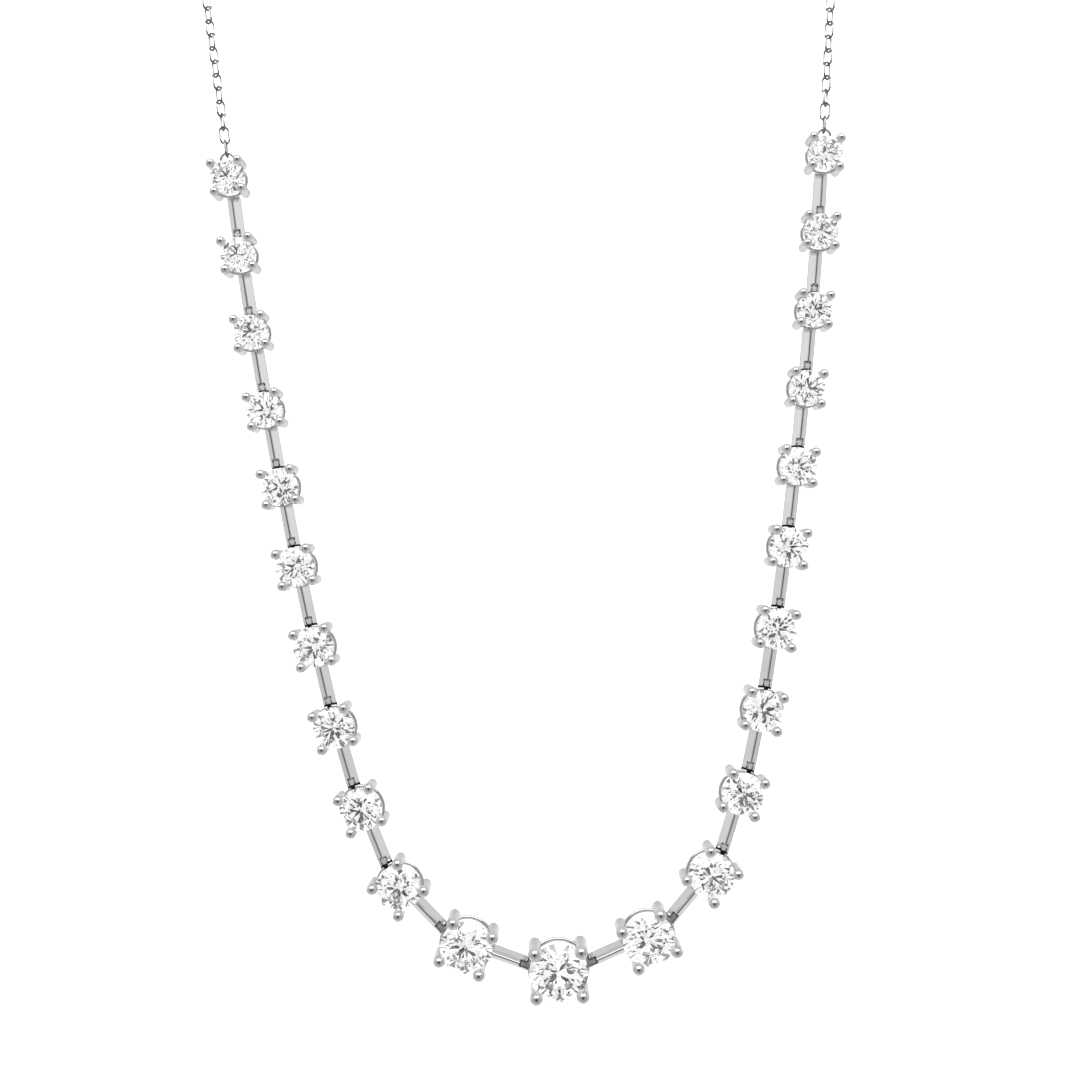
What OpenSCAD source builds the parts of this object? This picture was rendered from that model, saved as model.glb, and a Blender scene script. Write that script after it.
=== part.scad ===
// Diamond necklace: a graduated row of claw-set round brilliants joined by knife-edge bars, on a chain.
// It hangs in the XZ plane, with the stones facing -Y and the origin at the inside top of the chain's arch.

/* [Stones] */
// Diameter of the centre stone
centre_stone_d = 5.2; // [4.5:0.05:5.5]
// Width of the table as a share of the stone's diameter
table_share = 0.57; // [0.53:0.01:0.62]
// Slope of the eight crown kites above the girdle plane, in degrees
crown_angle = 34.5; // [32:0.5:36]
// Slope of the eight pavilion mains below the girdle plane, in degrees
pavilion_angle = 40.75; // [40:0.25:42]
// Thickness of the girdle as a share of the stone's diameter
girdle_share = 0.03; // [0.02:0.005:0.04]
// How far the star facets reach from the table's edge to the girdle
star_share = 0.5; // [0.45:0.05:0.6]
// How far the lower halves reach from the girdle to the culet
lower_half_share = 0.77; // [0.7:0.01:0.8]
// Turn of each stone about its own axis against the one before it, in degrees
stone_turn_step = 17.2; // [0:0.1:45]

/* [Settings] */
// Distance of a claw's axis outside the stone's girdle
claw_outset = 0.19; // [0.15:0.01:0.22]
// Diameter of a claw on a stone of no size, which grows with the stone
claw_d_base = 0.44; // [0.4:0.01:0.48]
// Growth of a claw's diameter for each millimetre of stone
claw_d_growth = 0.13; // [0.12:0.005:0.14]
// Angle between the setting's long axis and each claw, in degrees
claw_angle = 43.7; // [42:0.1:46]
// Height of a claw's round tip above the girdle, as a share of the stone's radius
claw_tip_share = 0.28; // [0.26:0.01:0.32]
// Depth of a claw's foot below the girdle, as a share of the stone's radius
claw_foot_share = 0.86; // [0.84:0.01:0.92]
// Air between a stone and its claws
stone_clearance = 0.04; // [0.03:0.01:0.06]
// Wire of the gallery rail on a stone of no size, which grows with the stone
rail_wire_d_base = 0.14; // [0.12:0.01:0.16]
// Growth of the rail's wire for each millimetre of stone
rail_wire_d_growth = 0.055; // [0.05:0.005:0.06]
// How far the middle of the rail's wire lies inside the girdle circle
rail_inset = 0.05; // [0.04:0.01:0.1]
// Depth of the rail below the girdle of a stone of no size, which grows with the stone
rail_depth_base = 0.5; // [0.45:0.05:0.55]
// Growth of the rail's depth for each millimetre of stone
rail_depth_growth = 0.15; // [0.13:0.01:0.16]

/* [Bars] */
// Width of a knife-edge bar
bar_w = 1.2; // [1.1:0.05:1.3]
// Height of a bar from its flat back to its ridge
bar_h = 1.05; // [1:0.05:1.15]
// Height of the upright sides under the bar's sloping faces
bar_side_h = 0.3; // [0.25:0.05:0.35]
// Width of the polished flat along the ridge
ridge_w = 0.16; // [0.12:0.02:0.2]
// Depth of the pin plane, the bars' and the chain's, below the stones' girdles
girdle_lift = 1.2; // [1.15:0.05:1.3]
// Gap between the end of a bar and the girdle circle of the next stone
bar_end_gap = 0.25; // [0.23:0.01:0.3]
// How far the thin tongue at a bar's end reaches inside that girdle circle, under the rail
tongue_reach = 0.35; // [0.2:0.05:0.45]
// Width of the slot in a bar's end
slot_w = 0.64; // [0.56:0.02:0.66]
// Distance of a hinge pin outside the girdle circle of the stone below it
pin_outset = 0.54; // [0.52:0.01:0.6]
// Diameter of a hinge pin
pin_d = 0.22; // [0.2:0.01:0.24]

/* [Chain] */
// Length of the whole necklace, closed
necklace_length = 400; // [390:1:406]
// Spacing of the links along the chain
link_pitch_nominal = 1.18; // [1.16:0.01:1.22]
// Width of a link
link_w = 0.96; // [0.92:0.02:1]
// Wire of the links
link_wire_d = 0.2; // [0.18:0.01:0.22]
// Lean of the chain away from upright where it leaves the row of stones, in degrees
chain_lean = 5.3; // [4:0.1:7]

/* [Hidden] */
// One row for each pair of stones, outward from the centre: the stone's diameter, the step from the stone
// before it and that step's lean from upright, and the lean of the setting's own bar, in mm and degrees.
ROW = [
    // stone_d, step, step_lean, bar_lean
    [4.65, 8.35, 72.3, 68.0],
    [4.10, 7.80, 46.6, 42.0],
    [3.80, 7.60, 23.4, 19.5],
    [3.70, 7.45, 16.1, 13.9],
    [3.60, 7.25, 11.7, 10.9],
    [3.50, 7.15, 10.6, 9.7],
    [3.35, 7.10, 9.0, 8.6],
    [3.20, 6.85, 8.7, 8.1],
    [3.10, 6.85, 7.6, 7.3],
    [3.10, 6.85, 7.0, 6.6],
    [3.05, 6.80, 5.6, 5.5],
];
PAIRS = len(ROW);
LEFT = -1;
RIGHT = 1;
SIDES = [LEFT, RIGHT];
eps = 0.01;

function side_name(side) = side == LEFT ? "left" : "right";
function two_digits(k) = str(k < 10 ? "0" : "", k);
function stone_name(side, k) =
    k == 0 ? "stone_centre" : str("stone_", side_name(side), "_", two_digits(k));
function setting_name(side, k) =
    k == 0 ? "setting_centre" : str("setting_", side_name(side), "_", two_digits(k));

// The row of stones on the right half, in the plane of the necklace: u to the right, v up, and the centre
// stone at 0, 0. The left half mirrors it. A lean is measured from upright, outward.
function outward(lean) = [sin(lean), cos(lean)];
function stone_d(k) = k == 0 ? centre_stone_d : ROW[k - 1][0];
function stone_r(k) = stone_d(k) / 2;
function place(k) = k == 0 ? [0, 0] : place(k - 1) + ROW[k - 1][1] * outward(ROW[k - 1][2]);
function bar_lean(k) = ROW[k - 1][3];
function bar_dir(k) = -outward(bar_lean(k));
function row_length(k = PAIRS) = k == 0 ? 0 : row_length(k - 1) + 2 * ROW[k - 1][1];

// Proportions of a setting, from its stone
function claw_r(k) = (claw_d_base + claw_d_growth * stone_d(k)) / 2;
function claw_tip_h(k) = claw_tip_share * stone_r(k);
function claw_foot_h(k) = claw_foot_share * stone_r(k) + claw_foot_extra;
claw_foot_extra = 0.15;
claw_foot_chamfer = 0.3;
claw_tip_swell = 1.05;
// Turn of a stone about its own axis, from its setting's bar
function stone_turn(side, k) = stone_turn_step * (side == LEFT ? k + PAIRS : k);
function rail_wire_r(k) = (rail_wire_d_base + rail_wire_d_growth * stone_d(k)) / 2;
function rail_r(k) = stone_r(k) - rail_inset;
function rail_depth(k) = rail_depth_base + rail_depth_growth * stone_d(k);

// Hinge between bar k and the setting below it, whose centre lies at reach(k) along the bar's axis and at
// aside(k) across it. The axis meets a circle of radius r round that centre at meet(k, r).
function below(k) = place(k - 1) - place(k);
function reach(k) = below(k) * bar_dir(k);
function aside(k) = below(k)[1] * bar_dir(k)[0] - below(k)[0] * bar_dir(k)[1];
function meet(k, r) = reach(k) - sqrt(r * r - aside(k) * aside(k));
function pin_at(k) = meet(k, stone_r(k - 1) + pin_outset);
eye_r = 0.29;
eye_hole_d = 0.3;
eye_t = 0.34;
slot_clearance = 0.06;
slot_floor = 0.14;
pin_length = 0.72;
bar_bottom = -0.5;
lug_root = 0.3;
lug_root_top = 0.42;

// Hanging loop on the two end settings, which the first links pass through
loop_wire_d = 0.3;
loop_r = 0.58;
loop_outset = 0.36;
loop_rise = stone_r(PAIRS) + loop_outset;
loop_hole_r = loop_r - loop_wire_d / 2;

// Chain: straight up from the end stones with its lean, then round an arch. Its length fixes the arch.
link_gap = 0.1;
arch_turn = 180 + 2 * chain_lean;
arch_turn_length = arch_turn * PI / 180;
end_stone = place(PAIRS);
hidden_length = necklace_length - row_length();
arch_rise = (hidden_length + 2 * end_stone[0] * sin(chain_lean)
    - end_stone[0] * cos(chain_lean) * arch_turn_length)
    / (2 * cos(chain_lean) + sin(chain_lean) * arch_turn_length);
arch_r = end_stone[0] * cos(chain_lean) + arch_rise * sin(chain_lean);
arch_v = end_stone[1] + arch_rise;
straight_length = arch_rise * cos(chain_lean) - end_stone[0] * sin(chain_lean);
half_hidden = hidden_length / 2;

// Point and direction on the right half of the hidden stretch, s from the end stone's centre.
// The direction is a lean from upright: it starts at chain_lean and turns back over the arch to -90.
function arch_angle(s) = (s - straight_length) / arch_r * 180 / PI;
function path_lean(s) = s < straight_length ? chain_lean : chain_lean - arch_angle(s);
function path_point(s) = s < straight_length
    ? end_stone + s * outward(chain_lean)
    : [0, arch_v] + arch_r * [cos(arch_angle(s) - chain_lean), sin(arch_angle(s) - chain_lean)];

// Clasp, straddling the top of the arch: distances from the apex, along the chain
clasp_len = 7;
clasp_w = 3.6;
clasp_t = 1.2;
clasp_wall = 0.95;
clasp_shift = 0.6;
clasp_eye_overlap = 0.1;
clasp_eye_at = clasp_shift + clasp_len / 2 + loop_r - clasp_eye_overlap;
clasp_ring_at = 2.35;
clasp_ring_wire_d = 0.34;
clasp_ring_r = 1.28;
clasp_ring_hole_r = clasp_ring_r - clasp_ring_wire_d / 2;
arm_clearance = clasp_ring_r + clasp_ring_wire_d / 2;
arm_r = arch_r - arm_clearance;

// First and last wire that a chain hangs between, seen from inside the links
chain_from = loop_rise + loop_hole_r - link_gap;
left_to = half_hidden - clasp_eye_at - loop_hole_r + link_gap;
right_to = half_hidden - clasp_ring_at - clasp_ring_hole_r + link_gap;
function chain_span(side) = (side == LEFT ? left_to : right_to) - chain_from;
// The eye and the ring lie in planes at right angles, so the left chain has one link more than whole pairs
function link_pairs(side) = floor((chain_span(side) - link_gap) / link_pitch_nominal / 2);
function link_count(side) = 2 * link_pairs(side) + (side == LEFT ? 1 : 0);
function link_pitch(side) = (chain_span(side) - link_gap) / link_count(side);
function link_hole(side) = link_pitch(side) + link_gap;
function link_s(side, i) = chain_from + link_hole(side) / 2 + i * link_pitch(side);
// Each link is turned against the one before: by 90 degrees, and by less near the ends of a chain, where it
// meets loop, eye or ring
end_turns = 3;
short_turn = 15;
function link_turn(side, i) = 90 * (i + 1) - short_turn * min(i, end_turns)
    - short_turn * max(0, i - (link_count(side) - 1 - end_turns));

/* Stones */

function crown_z(r_k, d) = girdle_share * d / 2 + (d / 2 - r_k) * tan(crown_angle);
function pavilion_z(r_k, d) = -girdle_share * d / 2 - (d / 2 - r_k) * tan(pavilion_angle);
// Radii of the table's corners, and of the corners where star, kites and upper halves meet
half_facet = 22.5;
function table_r(d) = table_share * d / 2;
function star_r(d) = star_share * d / 2 + (1 - star_share) * table_r(d) * cos(half_facet);
function ring_of(r, z, from, count) =
    [for (i = [0 : count - 1]) [r * cos(from + i * 360 / count), r * sin(from + i * 360 / count), z]];

// Round brilliant with its girdle plane at 0 and its table up: table, 8 stars, 8 kites, 16 upper halves,
// 16 girdle facets, 16 lower halves and 8 mains. Kites and mains share their planes with the corners
// between them, so every facet is flat.
module brilliant(d) {
    r = d / 2;
    lower_r = (1 - lower_half_share) * r;
    corners = concat(
        ring_of(table_r(d), crown_z(table_r(d), d), 0, 8),
        ring_of(star_r(d), crown_z(star_r(d) * cos(half_facet), d), half_facet, 8),
        ring_of(r, girdle_share * r, 0, 16),
        ring_of(r, -girdle_share * r, 0, 16),
        ring_of(lower_r, pavilion_z(lower_r * cos(half_facet), d), half_facet, 8),
        [[0, 0, pavilion_z(0, d)]]
    );
    hull() polyhedron(corners, [[for (i = [0 : len(corners) - 1]) i]]);
}

// Space that a stone takes between its claws
module seat(d) {
    c = stone_clearance;
    r = d / 2;
    top = crown_z(star_r(d) * cos(half_facet), d) + c;
    rotate_extrude($fn = 64) polygon([
        [0, pavilion_z(0, d) - c],
        [r + c, -girdle_share * r - c],
        [r + c, girdle_share * r + c],
        [star_r(d) + c, top],
        [0, top],
    ]);
}

/* Settings, with the girdle plane at 0 and the bar's direction along +X */

module claw(k) {
    r = claw_r(k);
    foot = -claw_foot_h(k);
    chamfer = claw_foot_chamfer * r;
    rotate_extrude($fn = 48) polygon([
        [0, foot],
        [r - chamfer, foot],
        [r, foot + chamfer],
        [r, claw_tip_h(k)],
        [0, claw_tip_h(k)],
    ]);
    translate([0, 0, claw_tip_h(k)]) sphere(r = claw_tip_swell * r, $fn = 48);
}

module claws(k) {
    difference() {
        for (across = [-1, 1], along = [0, 1])
            rotate([0, 0, along * 180 + across * claw_angle])
                translate([stone_r(k) + claw_outset, 0, 0]) claw(k);
        seat(stone_d(k));
    }
}

// Gallery rail: the wire ring under the girdle that ties the claws
module rail(k) {
    translate([0, 0, -rail_depth(k)])
        rotate_extrude($fn = 96) translate([rail_r(k), 0]) circle(r = rail_wire_r(k), $fn = 24);
}

module basket(k) {
    translate([0, 0, girdle_lift]) {
        claws(k);
        rail(k);
    }
}

module bar_section() {
    half = bar_w / 2;
    top = bar_bottom + bar_h;
    polygon([
        [-half, bar_bottom],
        [half, bar_bottom],
        [half, bar_bottom + bar_side_h],
        [ridge_w / 2, top],
        [-ridge_w / 2, top],
        [-half, bar_bottom + bar_side_h],
    ]);
}

// Knife-edge bar along +X, with the pin plane at 0, from the rail of its own setting to the next stone.
// Its end follows the next girdle, with a tongue under the rail there and a blind slot for the eye, crossed
// by the pin.
module bar(k) {
    start = rail_r(k) - rail_wire_r(k) / 2;
    pin_x = pin_at(k);
    slot_start = pin_x - eye_r - slot_clearance;
    floor_h = bar_bottom + slot_floor;
    difference() {
        translate([start, 0, 0]) rotate([90, 0, 90]) linear_extrude(reach(k) - start) bar_section();
        translate([reach(k), aside(k), floor_h])
            cylinder(r = stone_r(k - 1) + bar_end_gap, h = bar_h, $fn = 96);
        translate([reach(k), aside(k), bar_bottom - eps])
            cylinder(r = stone_r(k - 1) - tongue_reach, h = bar_h, $fn = 96);
        translate([slot_start, -slot_w / 2, floor_h]) cube([reach(k), slot_w, bar_h]);
    }
    translate([pin_x, pin_length / 2, 0]) rotate([90, 0, 0]) cylinder(d = pin_d, h = pin_length, $fn = 24);
}

// Lug on a setting for the bar above it, drawn in that bar's frame: a flat eye on a stem from the rail
module lug(k) {
    stem_end = meet(k, rail_r(k - 1) - rail_wire_r(k - 1) / 2);
    stem_h = 2 * eye_r;
    difference() {
        translate([0, eye_t / 2, 0]) rotate([90, 0, 0]) linear_extrude(eye_t) {
            translate([pin_at(k), 0]) circle(r = eye_r, $fn = 32);
            translate([pin_at(k), -eye_r]) square([stem_end - pin_at(k), stem_h]);
            translate([stem_end - lug_root, -eye_r]) square([lug_root, eye_r + lug_root_top]);
        }
        translate([pin_at(k), eye_t / 2 + eps, 0]) rotate([90, 0, 0])
            cylinder(d = eye_hole_d, h = eye_t + 2 * eps, $fn = 24);
    }
}

module hanging_loop() {
    solder_at = (loop_rise - loop_r + rail_r(PAIRS)) / 2;
    translate([-loop_rise, 0, 0])
        rotate_extrude($fn = 48) translate([loop_r, 0]) circle(d = loop_wire_d, $fn = 24);
    translate([-solder_at, 0, 0]) cylinder(h = girdle_lift - rail_depth(PAIRS), d = loop_wire_d, $fn = 24);
}

// Frame of setting k on the right half: +X along its bar
module at_setting(k) {
    p = place(k);
    translate([p[0], p[1], 0]) rotate([0, 0, k == 0 ? 180 : -90 - bar_lean(k)]) children();
}

module one_setting(k) {
    color("gainsboro") {
        at_setting(k) basket(k);
        if (k > 0) at_setting(k) bar(k);
        if (k < PAIRS) at_setting(k + 1) lug(k + 1);
        if (k == 0) mirror([1, 0, 0]) at_setting(1) lug(1);
        if (k == PAIRS) at_setting(k) hanging_loop();
    }
}

module one_stone(side, k) {
    color("white") at_setting(k) translate([0, 0, girdle_lift])
        rotate([0, 0, stone_turn(side, k)]) brilliant(stone_d(k));
}

/* Chain and clasp */

// One link, long along +X and flat in the XY plane: two straight wires and two round ends
module link(hole) {
    bend_r = (link_w - link_wire_d) / 2;
    straight = hole + link_wire_d - 2 * bend_r;
    for (end = [0, 180]) rotate([0, 0, end]) {
        translate([straight / 2, 0, 0]) rotate([0, 0, -90])
            rotate_extrude(angle = 180, $fn = 24) translate([bend_r, 0]) circle(d = link_wire_d, $fn = 16);
        translate([-straight / 2, bend_r, 0])
            rotate([0, 90, 0]) cylinder(d = link_wire_d, h = straight, $fn = 16);
    }
}

module on_path(s) {
    p = path_point(s);
    translate([p[0], p[1], 0]) rotate([0, 0, 90 - path_lean(s)]) children();
}

module chain(side) {
    color("gainsboro")
        for (i = [0 : link_count(side) - 1])
            on_path(link_s(side, i)) rotate([link_turn(side, i), 0, 0]) link(link_hole(side));
}

module stadium(length, width) {
    straight = length - width;
    for (x = [-straight / 2, straight / 2]) translate([x, 0]) circle(d = width, $fn = 48);
    translate([-straight / 2, -width / 2]) square([straight, width]);
}

// Plain closed clasp, its flat faces along the inside and outside of the loop: an oval ring with a small
// eye for the left chain
module clasp() {
    color("gainsboro") {
        mirror([1, 0, 0]) on_path(half_hidden - clasp_shift)
            rotate([90, 0, 0]) translate([0, 0, -clasp_t / 2]) linear_extrude(clasp_t) difference() {
                stadium(clasp_len, clasp_w);
                stadium(clasp_len - 2 * clasp_wall, clasp_w - 2 * clasp_wall);
            }
        mirror([1, 0, 0]) on_path(half_hidden - clasp_eye_at) rotate([90, 0, 0])
            rotate_extrude($fn = 48) translate([loop_r, 0]) circle(d = loop_wire_d, $fn = 24);
    }
}

module clasp_ring() {
    color("gainsboro") on_path(half_hidden - clasp_ring_at)
        rotate_extrude($fn = 48) translate([clasp_ring_r, 0]) circle(d = clasp_ring_wire_d, $fn = 24);
}

/* Assembly: the plane of the necklace is stood up, facing -Y, and hung by the inside top of its arch */

module hung() {
    translate([0, 0, -arch_v - arm_r]) rotate([90, 0, 0]) children();
}

module on_side(side) {
    hung() mirror([side == LEFT ? 1 : 0, 0, 0]) children();
}

hung() one_stone(RIGHT, 0);  // stone_centre
hung() one_setting(0);  // setting_centre
for (side = SIDES, k = [1 : PAIRS]) {
    on_side(side) one_stone(side, k);
    on_side(side) one_setting(k);
}
on_side(LEFT) chain(LEFT);  // chain_left
on_side(RIGHT) chain(RIGHT);  // chain_right
hung() clasp();
hung() clasp_ring();
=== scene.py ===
"""Looks of the diamond necklace: polished settings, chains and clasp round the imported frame, and stones."""

import math

import bmesh
import bpy
from bpy.props import FloatProperty, FloatVectorProperty, IntProperty, PointerProperty
from mathutils import Matrix, Vector


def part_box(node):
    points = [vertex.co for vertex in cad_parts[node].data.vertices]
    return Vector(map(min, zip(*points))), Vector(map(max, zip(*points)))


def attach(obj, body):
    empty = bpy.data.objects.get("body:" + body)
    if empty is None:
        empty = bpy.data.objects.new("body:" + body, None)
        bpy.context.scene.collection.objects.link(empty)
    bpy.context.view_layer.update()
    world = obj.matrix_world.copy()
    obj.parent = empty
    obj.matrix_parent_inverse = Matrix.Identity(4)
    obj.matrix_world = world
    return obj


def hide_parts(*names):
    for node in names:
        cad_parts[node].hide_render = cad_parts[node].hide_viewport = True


bl_info = {
    "name": "Diamond necklace",
    "version": (1, 0, 0),
    "blender": (4, 5, 0),
    "location": "View3D > Sidebar > Necklace",
    "description": "Builds the polished settings, chains, clasp, finishes and stage round the packed frame",
    "category": "Object",
}

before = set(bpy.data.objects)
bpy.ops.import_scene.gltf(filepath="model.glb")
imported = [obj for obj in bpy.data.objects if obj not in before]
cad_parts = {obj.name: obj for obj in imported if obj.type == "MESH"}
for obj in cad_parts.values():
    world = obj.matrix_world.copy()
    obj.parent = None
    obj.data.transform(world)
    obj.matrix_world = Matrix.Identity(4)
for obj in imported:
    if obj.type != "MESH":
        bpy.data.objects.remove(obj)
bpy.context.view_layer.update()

MM = 0.001
SIDES = {"left": -1, "right": 1}
PAIRS = sum(name.startswith("stone_right_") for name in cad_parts)
# Lean of each setting's bar from upright, in degrees, outward from the centre
BAR_LEANS = (68.0, 42.0, 19.5, 13.9, 10.9, 9.7, 8.6, 8.1, 7.3, 6.6, 5.5)
# Bars on each side whose hinges lie open
OPEN_HINGES = 2
# Corners of a stone's table
TABLE_CORNERS = 8
# Places of the unpolished metals among a setting's materials: open recesses, painted a little darker as
# shade; narrow gaps, painted near black as shadow; and closed hinges, painted brighter to lift their shade
RECESS, GAP, SATIN = 1, 2, 3

# Sides of the wires: rails, hanging loops and the clasp's eye, then links, then the clasp ring
WIRE_SIDES, LINK_SIDES, RING_SIDES = 12, 6, 16
# Steps along the bent wires: rails, hanging loops, the clasp ring, the clasp's ends, and the links' bends
RAIL_STEPS, LOOP_STEPS, RING_STEPS, CLASP_STEPS, BEND_STEPS = 72, 40, 56, 20, 6
# Flats round claws, stones' seats, pins and solder, eyes, their holes, and the hollows at the bars' ends
CLAW_FLATS, SEAT_FLATS, PIN_FLATS, EYE_FLATS, HOLE_FLATS, END_FLATS = 24, 64, 20, 32, 24, 96
# Steps over a claw's tip, round a corner of the clasp's metal, on each side of a bar's crest, and in a bevel
TIP_STEPS, CORNER_STEPS, RIDGE_STEPS, BEVEL_STEPS = 7, 4, 5, 2
# Angles between faces from which an edge is rounded, and from which it is shaded as sharp
ROUNDED_FROM, SHARP_FROM = math.radians(20), math.radians(40)
# Corners closer than this, in millimetres, are one
MERGED_WITHIN = 1e-5


def mm(metres):
    """Millimetres, in which every piece is built before it takes its place in metres."""
    return metres / MM


def length(name, description, millimetres):
    """A size that a user may change, kept in metres."""
    return FloatProperty(name=name, description=description, default=millimetres * MM, min=0, precision=5,
                         unit="LENGTH", subtype="DISTANCE")


def share(name, description, default):
    return FloatProperty(name=name, description=description, default=default, min=0, max=2)


def level(name, description, default):
    """A brightness, 1 being white in the picture."""
    return FloatProperty(name=name, description=description, default=default, min=0)


def angle(name, description, degrees):
    return FloatProperty(name=name, description=description, default=math.radians(degrees), subtype="ANGLE")


def grey(name, description, shade):
    """A colour that a user may change, grey by default."""
    return FloatVectorProperty(name=name, description=description, default=(shade,) * 3, min=0, max=1,
                               subtype="COLOR")


# Sizes and colours


class SettingSizes(bpy.types.PropertyGroup):
    claw_outset: length("Claw outset", "Distance of a claw's axis outside the girdle", 0.19)
    claw_d_base: length("Claw base", "Diameter of a claw on a stone of no size", 0.44)
    claw_d_growth: share("Claw growth", "Growth of a claw's diameter with the stone's", 0.13)
    claw_angle: angle("Claw angle", "Angle between the setting's long axis and each claw", 43.7)
    tip_share: share("Tip height", "Height of the claw's tip above the girdle over the stone's radius", 0.28)
    foot_share: share("Foot depth", "Depth of the claw's foot below the girdle over the stone's radius", 0.86)
    foot_extra: length("Foot extra", "Depth that the foot adds to its share", 0.15)
    foot_round: share("Foot chamfer", "Chamfer of the foot over the claw's radius", 0.3)
    tip_swell: share("Tip swell", "Radius of the round tip over the claw's", 1.05)
    stone_air: length("Stone clearance", "Air between a stone and its claws", 0.04)
    girdle_lift: length("Girdle lift", "Height of the girdle over the pin plane", 1.2)
    rail_inset: length("Rail inset", "Distance of the rail's wire centre inside the girdle circle", 0.05)
    rail_r_base: length("Rail wire base", "Radius of the rail's wire on a stone of no size", 0.07)
    rail_r_growth: share("Rail wire growth", "Growth of the wire's radius with the stone's radius", 0.055)
    rail_depth_base: length("Rail depth base", "Rail's depth below the girdle of a stone of no size", 0.5)
    rail_depth_growth: share("Rail depth growth", "Growth of the rail's depth with the stone's radius", 0.3)


class StoneCut(bpy.types.PropertyGroup):
    table: share("Table", "Width of the table over the diameter", 0.57)
    star: share("Star", "How far the stars reach from the table's edge to the girdle", 0.5)
    girdle: share("Girdle", "Thickness of the girdle over the diameter", 0.03)
    crown: angle("Crown angle", "Slope of the crown's kites", 34.5)
    pavilion: angle("Pavilion angle", "Slope of the pavilion's mains", 40.75)


class BarSizes(bpy.types.PropertyGroup):
    width: length("Width", "Width of a bar", 1.2)
    height: length("Height", "Height from the flat back to the ridge", 1.05)
    side: length("Side", "Height of the upright sides", 0.3)
    ridge: length("Ridge", "Width across the slopes at the height of the crest, which is rounded off", 0.16)
    back: length("Back", "Depth of the flat back below the pin plane", 0.5)
    edge: length("Edge", "Roundness of the bar's long edges", 0.03)
    end_gap: length("End gap", "Gap between a bar's end and the next girdle circle", 0.25)
    tongue: length("Tongue", "How far the tongue at a bar's end reaches inside the next girdle circle", 0.35)
    pin_outset: length("Pin outset", "Distance of the pin outside the next girdle circle", 0.54)
    pin_d: length("Pin", "Diameter of the hinge pin", 0.22)
    pin_length: length("Pin length", "Length of the hinge pin", 0.72)
    slot: length("Slot", "Width of the slot for the eye", 0.64)
    slot_air: length("Slot clearance", "Air between the eye and the end of its slot", 0.06)
    slot_floor: length("Slot floor", "Metal left under the slot", 0.14)
    eye_r: length("Eye", "Radius of the lug's eye", 0.29)
    eye_hole: length("Eye hole", "Diameter of the hole in the eye", 0.3)
    eye_t: length("Eye thickness", "Thickness of the lug", 0.34)
    root: length("Lug root", "Length of the lug's raised root", 0.3)
    root_top: length("Lug root top", "Height of the lug's root over the pin plane", 0.42)


class ChainSizes(bpy.types.PropertyGroup):
    total: length("Necklace length", "Length of the whole necklace, closed", 400)
    pitch: length("Link pitch", "Rough spacing of the links", 1.18)
    width: length("Link width", "Width of a link", 0.96)
    wire: length("Link wire", "Diameter of the links' wire", 0.2)
    gap: length("Link gap", "Air between a link and the next, along the chain", 0.1)
    lean: angle("Chain lean", "Lean of the chain where it leaves the stones", 5.3)
    short_turn: angle("Short turn", "What the turn between links near an end lacks of a right angle", 15)
    end_turns: IntProperty(name="End turns", description="Links at each end with a short turn", default=3,
                           min=0)
    # The rest of each bend is painted darker, as shade where the links cross
    rubbed: share("Rubbed share", "How much of a link's bend counts as straight and stays bright", 0.2)
    loop_r: length("Loop radius", "Radius of a hanging loop, to the middle of its wire", 0.58)
    loop_wire: length("Loop wire", "Diameter of a hanging loop's wire", 0.3)
    loop_outset: length("Loop outset", "Distance of the hanging loop's centre outside the girdle", 0.36)


class ClaspSizes(bpy.types.PropertyGroup):
    length: length("Length", "Length of the clasp", 7)
    width: length("Width", "Width of the clasp", 3.6)
    thickness: length("Thickness", "Thickness of the clasp", 1.2)
    wall: length("Wall", "Width of the clasp's metal", 0.95)
    edge: length("Edge", "Roundness of the clasp's edges", 0.22)
    shift: length("Shift", "Distance of the clasp's middle from the top of the arch", 0.6)
    ring_at: length("Ring place", "Distance of the clasp ring from the top of the arch", 2.35)
    ring_r: length("Ring radius", "Radius of the clasp ring, to the middle of its wire", 1.28)
    ring_wire: length("Ring wire", "Diameter of the clasp ring's wire", 0.34)
    eye_overlap: length("Eye overlap", "How far the eye's wire centre lies inside the clasp's end", 0.1)


class Finishes(bpy.types.PropertyGroup):
    metal: grey("Metal", "Colour of the polished metal", 0.8)
    metal_dull: grey("Handled metal", "Colour of the polished metal where it is handled", 0.71)
    metal_rough: share("Metal roughness", "Roughness of the polished metal", 0.07)
    # The open hinges' dull metal is painted a little darker than the polish, as shade
    recess: grey("Recess", "Colour of the metal in the open hinges", 0.75)
    recess_rough: share("Recess roughness", "Roughness of the metal in the open hinges", 0.5)
    # Painted shadow: the near-black colour given to the metal in the narrow gaps
    tarnish: grey("Tarnish", "Colour of the metal in the narrow gaps", 0.05)
    # The closed hinges' rough metal is painted brighter than the polish, to lift their shade
    satin: grey("Satin metal", "Colour of the metal in the closed hinges", 0.97)
    satin_rough: share("Satin roughness", "Roughness of the metal in the closed hinges and the gaps", 0.75)
    chain: grey("Chain metal", "Colour of the chain's metal", 0.97)
    # Painted shade: the darker colour of the links' bends, where they cross
    rubbed: grey("Rubbed metal", "Colour of the links' bends, where they rub", 0.3)
    chain_rough: share("Chain roughness", "Roughness of the chain's metal", 0.3)
    gem: grey("Diamond", "Colour of the stones", 1.0)
    gem_ior: FloatProperty(name="Refractive index", description="Refractive index of diamond", default=2.417,
                           min=1)


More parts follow.
